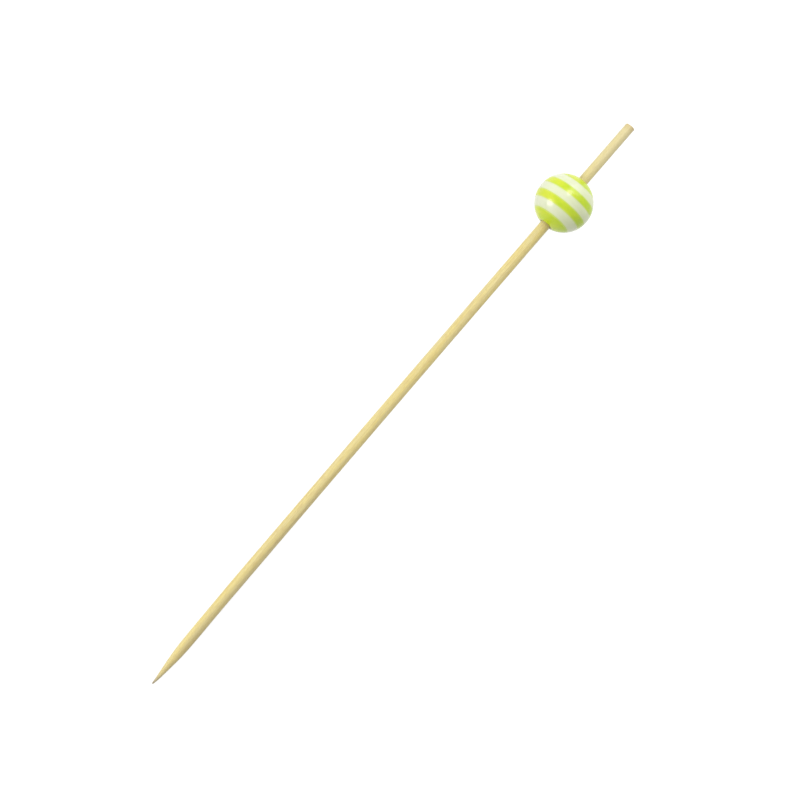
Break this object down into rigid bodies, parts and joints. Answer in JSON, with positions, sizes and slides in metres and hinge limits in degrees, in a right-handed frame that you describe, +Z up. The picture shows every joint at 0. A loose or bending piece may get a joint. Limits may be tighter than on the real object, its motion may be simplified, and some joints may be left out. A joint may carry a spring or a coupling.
{
  "type": "bamboo skewer",
  "caption": "Slim bamboo skewer with a sharpened point and a round striped bead near its cut end, lying flat.",
  "frame": {"origin": "on the surface that the skewer lies on, under the middle of its length", "axes": "+X along the stick from the point to the cut end, +Z up, +Y to the left of the stick seen from above"},
  "size_m": [0.15, 0.0122, 0.0122],
  "materials": {
    "bamboo": "pale straw bamboo, machined round and unvarnished, with fine fibres along its length",
    "lime_resin": "lime green resin, polished to a gloss",
    "white_resin": "opaque white resin, polished to a gloss"
  },
  "bodies": {
    "root": {"bamboo_stick": "bamboo", "bead_green_layers": "lime_resin", "bead_white_layers": "white_resin"}
  },
  "joints": []
}
